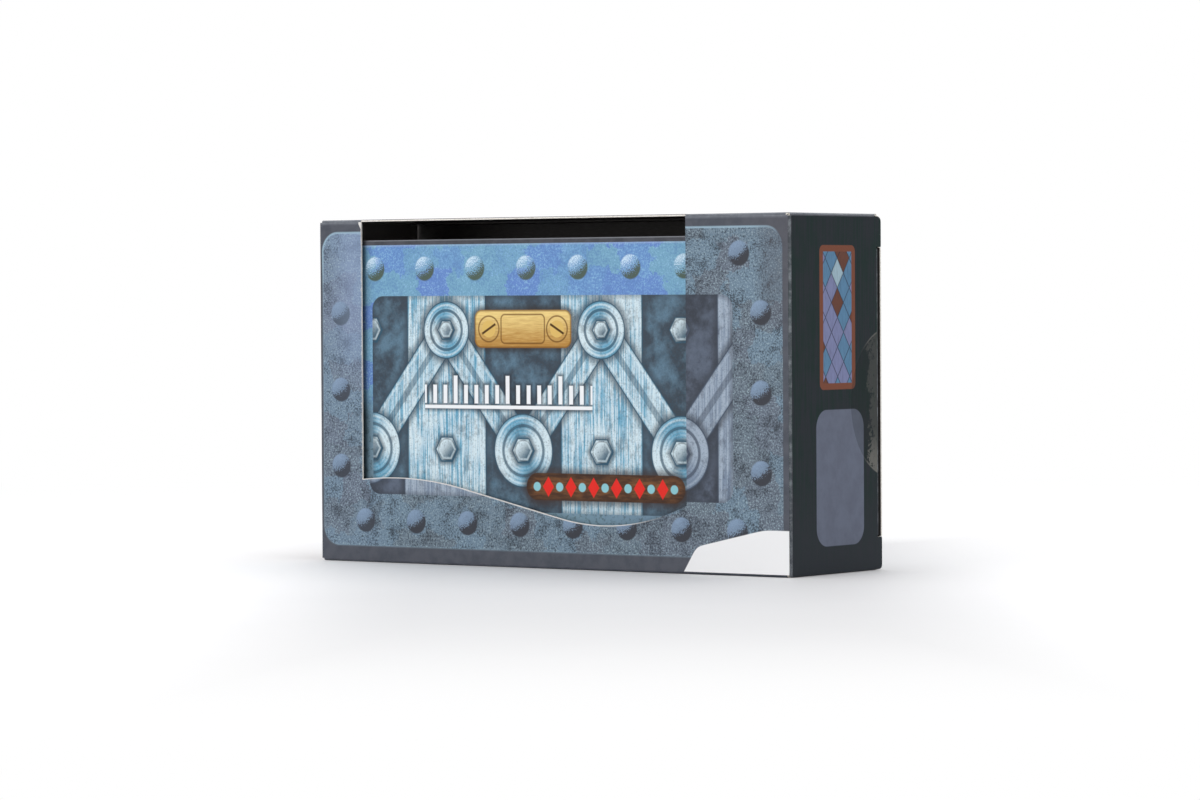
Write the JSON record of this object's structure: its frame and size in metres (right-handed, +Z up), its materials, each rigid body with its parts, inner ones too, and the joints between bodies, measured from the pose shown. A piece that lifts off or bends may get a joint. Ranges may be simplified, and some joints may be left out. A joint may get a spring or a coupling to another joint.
{
  "type": "wooden puzzle box in a window carton",
  "caption": "Flat wooden trick box with a printed face, a sliding tray and gravity lock pins, packed in a folded window carton with creased end flaps.",
  "frame": {"origin": "on the supporting surface under the middle of the carton's outside", "axes": "+X to the carton's right end, +Y to its back panel, +Z up, with the window facing -Y"},
  "size_m": [0.15, 0.0417, 0.09],
  "materials": {
    "printed_board": "printed paperboard with a satin varnish, dark inside, white raw edges",
    "face_print": "printed paper film with a satin laminate",
    "stained_ply": "dark brown stained plywood, oiled",
    "tray_wood": "reddish brown wood, sanded and waxed",
    "dowel_beech": "plain beech",
    "pin_steel": "ground steel"
  },
  "bodies": {
    "carton": {"carton_front": "printed_board", "carton_back": "printed_board", "carton_top": "printed_board", "carton_bottom": "printed_board", "carton_glue_flap": "printed_board", "carton_left_lip": "printed_board"},
    "right_closure": {"right_closure": "printed_board"},
    "right_tuck": {"right_tuck": "printed_board"},
    "right_dust_top": {"right_dust_top": "printed_board"},
    "right_dust_bottom": {"right_dust_bottom": "printed_board"},
    "left_flap": {"left_flap": "printed_board"},
    "shell": {"face_print": "face_print", "front_plate": "stained_ply", "back_plate": "stained_ply", "upper_rail": "stained_ply", "lower_rail": "stained_ply", "end_block": "stained_ply", "shell_dowels": "dowel_beech", "stop_dowel": "dowel_beech"},
    "tray": {"tray_base": "tray_wood", "tray_frame_front": "tray_wood", "tray_frame_middle": "tray_wood", "tray_frame_back": "tray_wood", "tray_dowels": "dowel_beech"},
    "lock_pin_outer": {"lock_pin_outer": "pin_steel"},
    "lock_pin_inner": {"lock_pin_inner": "pin_steel"}
  },
  "joints": [
    {"name": "right_closure_crease", "type": "hinge", "parent": "carton", "child": "right_closure", "pos_m": [0.07475, -0.02025, 0.045], "axis": [0, 0, -1], "range_deg": [0, 100]},
    {"name": "right_tuck_crease", "type": "hinge", "parent": "right_closure", "child": "right_tuck", "pos_m": [0.07475, 0.01925, 0.045], "axis": [0, 0, 1], "range_deg": [0, 55]},
    {"name": "right_dust_top_crease", "type": "hinge", "parent": "carton", "child": "right_dust_top", "pos_m": [0.07415, 0, 0.08975], "axis": [0, -1, 0], "range_deg": [0, 30]},
    {"name": "right_dust_bottom_crease", "type": "hinge", "parent": "carton", "child": "right_dust_bottom", "pos_m": [0.07415, 0, 0.00025], "axis": [0, 1, 0], "range_deg": [0, 30]},
    {"name": "left_flap_crease", "type": "hinge", "parent": "carton", "child": "left_flap", "pos_m": [-0.07475, 0.0209, 0.045], "axis": [0, 0, -1], "range_deg": [-270, 0]},
    {"name": "box_slide", "type": "slide", "parent": "carton", "child": "shell", "axis": [-1, 0, 0], "range_m": [0, 0.152]},
    {"name": "tray_slide", "type": "slide", "parent": "shell", "child": "tray", "axis": [-1, 0, 0], "range_m": [0, 0.095]},
    {"name": "lock_pin_outer_slide", "type": "slide", "parent": "tray", "child": "lock_pin_outer", "axis": [0, 0, 1], "range_m": [0, 0.0077]},
    {"name": "lock_pin_inner_slide", "type": "slide", "parent": "tray", "child": "lock_pin_inner", "axis": [0, 0, 1], "range_m": [0, 0.0077]}
  ],
  "couplings": [
    {"joint": "right_tuck_crease", "follows": "right_closure_crease", "ratio": 0.5},
    {"joint": "right_dust_top_crease", "follows": "right_closure_crease", "ratio": 0.25},
    {"joint": "right_dust_bottom_crease", "follows": "right_closure_crease", "ratio": 0.25}
  ]
}
